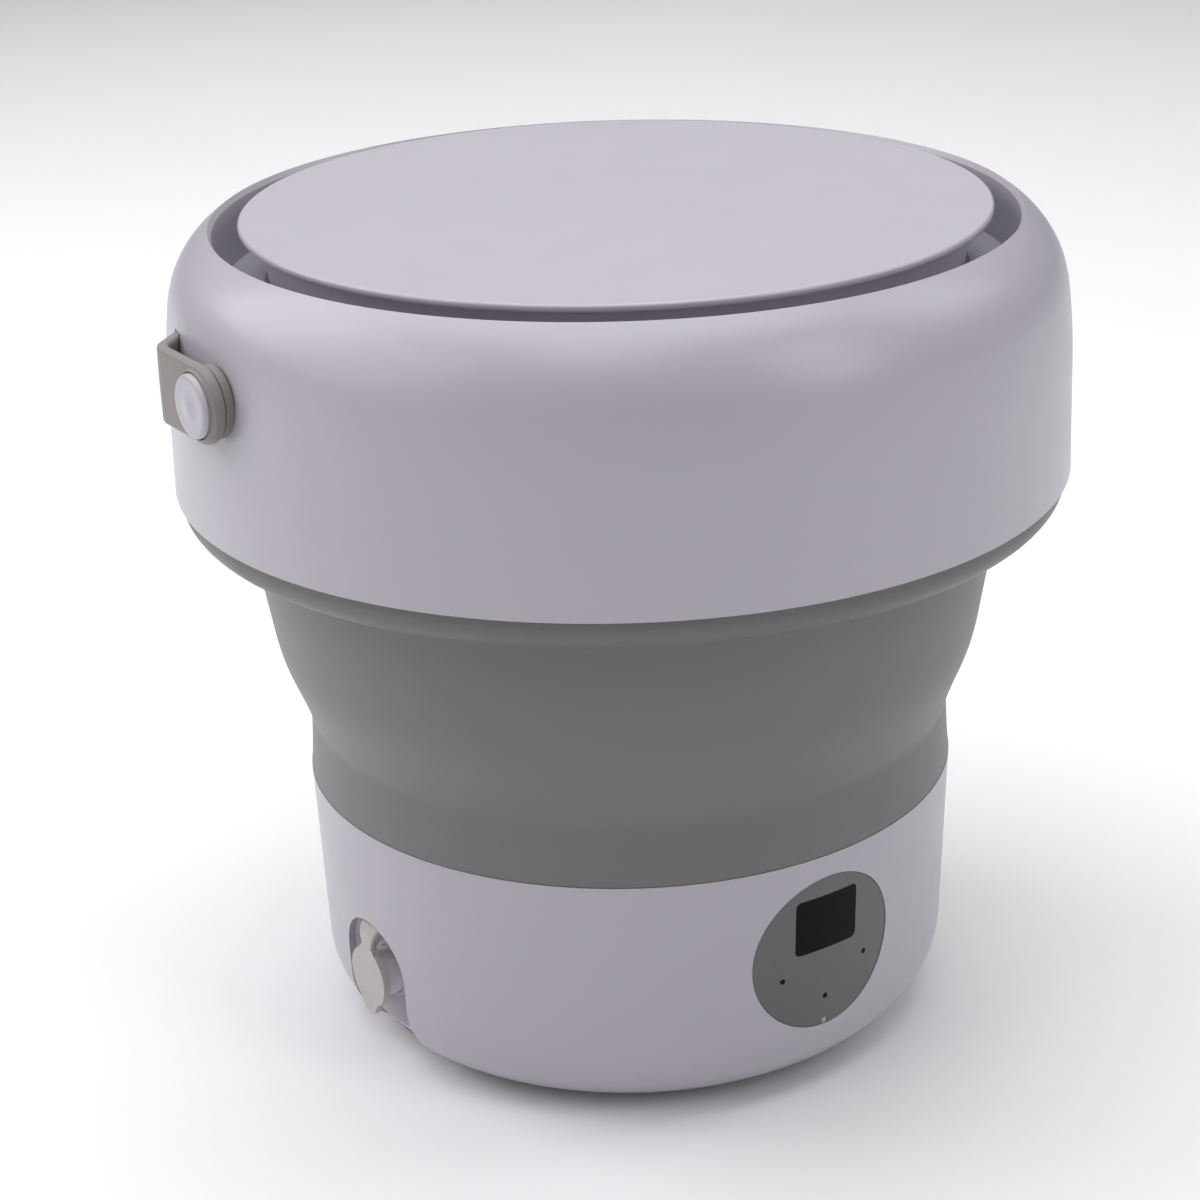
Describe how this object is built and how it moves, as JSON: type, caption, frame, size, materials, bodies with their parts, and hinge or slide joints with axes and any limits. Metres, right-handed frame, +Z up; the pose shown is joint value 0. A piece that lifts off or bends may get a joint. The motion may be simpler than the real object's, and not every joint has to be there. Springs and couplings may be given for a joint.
{
  "type": "foldable washing machine",
  "caption": "Round foldable mini washing machine: white base and upper shell joined by a grey silicone bellows, lift-off lid, carrying strap, drain plug and round control panel.",
  "frame": {"origin": "on the floor, on the drum's axis, midway between the four feet", "axes": "+Z up along the drum's axis; the control panel faces -Y; the drain faces -X"},
  "size_m": [0.3747, 0.364, 0.3458],
  "materials": {
    "white_shell": "satin white plastic",
    "grey_silicone": "matt grey silicone",
    "grey_plastic": "moulded grey plastic",
    "strap_silicone": "matt warm grey silicone",
    "inner_plastic": "moulded white plastic",
    "panel_grey": "printed grey panel",
    "window_black": "dark display window",
    "soft_white": "off-white silicone",
    "black_rubber": "black rubber",
    "steel": "plated steel",
    "circuit_board": "green solder mask",
    "component_black": "moulded black",
    "black_plastic": "black nylon",
    "wire_red": "lead insulation"
  },
  "bodies": {
    "base": {"base_shell": "white_shell", "bottom_cover": "inner_plastic", "feet": "black_rubber", "bottom_screws": "steel", "tub_bowl": "inner_plastic", "drain_strainer": "steel", "lower_clamp_ring": "inner_plastic", "bellows": "grey_silicone", "bearing_housing": "inner_plastic", "housing_screws": "steel", "lower_bearing": "steel", "upper_bearing": "steel", "shaft_seal": "black_rubber", "motor_body": "steel", "motor_bracket": "steel", "motor_grommets": "black_rubber", "motor_screws": "steel", "drive_belt": "black_rubber", "drain_housing": "white_shell", "drain_spout": "inner_plastic", "drain_hose": "black_rubber", "drain_tether": "soft_white", "control_panel": "panel_grey", "display_window": "window_black", "indicator_lenses": "window_black", "display_board": "circuit_board", "display_module": "component_black", "touch_contacts": "steel", "board_screws": "steel", "board_spacers": "black_plastic", "driver_board": "circuit_board", "driver_parts": "component_black", "driver_screws": "steel", "power_inlet": "black_plastic", "inlet_nut": "black_plastic", "wiring": "wire_red"},
    "upper_body": {"upper_shell": "white_shell", "inner_collar": "inner_plastic", "skirt_ring": "grey_plastic", "collar_screws": "steel", "strap": "strap_silicone", "strap_button": "white_shell", "strap_spacer": "strap_silicone", "strap_screw": "steel"},
    "lid": {"lid_disc": "white_shell", "lid_plug": "white_shell", "lid_seal": "grey_silicone", "lid_screws": "steel"},
    "pulsator_group": {"pulsator": "inner_plastic", "pulsator_screw": "steel", "drive_shaft": "steel", "driven_pulley": "black_plastic", "pulley_clip": "steel"},
    "motor_rotor": {"motor_shaft": "steel", "motor_pulley": "black_plastic"},
    "drain_plug": {"drain_plug": "soft_white"}
  },
  "joints": [
    {"name": "fold", "type": "slide", "parent": "base", "child": "upper_body", "axis": [0, 0, 1], "range_m": [-0.115, 0], "deforming": ["bellows"]},
    {"name": "lid_lift", "type": "slide", "parent": "upper_body", "child": "lid", "axis": [0, 0, 1], "range_m": [0, 0.09]},
    {"name": "pulsator_spin", "type": "hinge", "parent": "base", "child": "pulsator_group", "pos_m": [0, 0, 0.05], "axis": [0, 0, 1], "continuous": true},
    {"name": "motor_spin", "type": "hinge", "parent": "base", "child": "motor_rotor", "pos_m": [0.068, 0, 0.02], "axis": [0, 0, 1], "continuous": true},
    {"name": "plug_pull", "type": "slide", "parent": "base", "child": "drain_plug", "axis": [-1, 0, 0], "range_m": [0, 0.024]}
  ],
  "couplings": [
    {"joint": "motor_spin", "follows": "pulsator_spin", "ratio": 6}
  ]
}
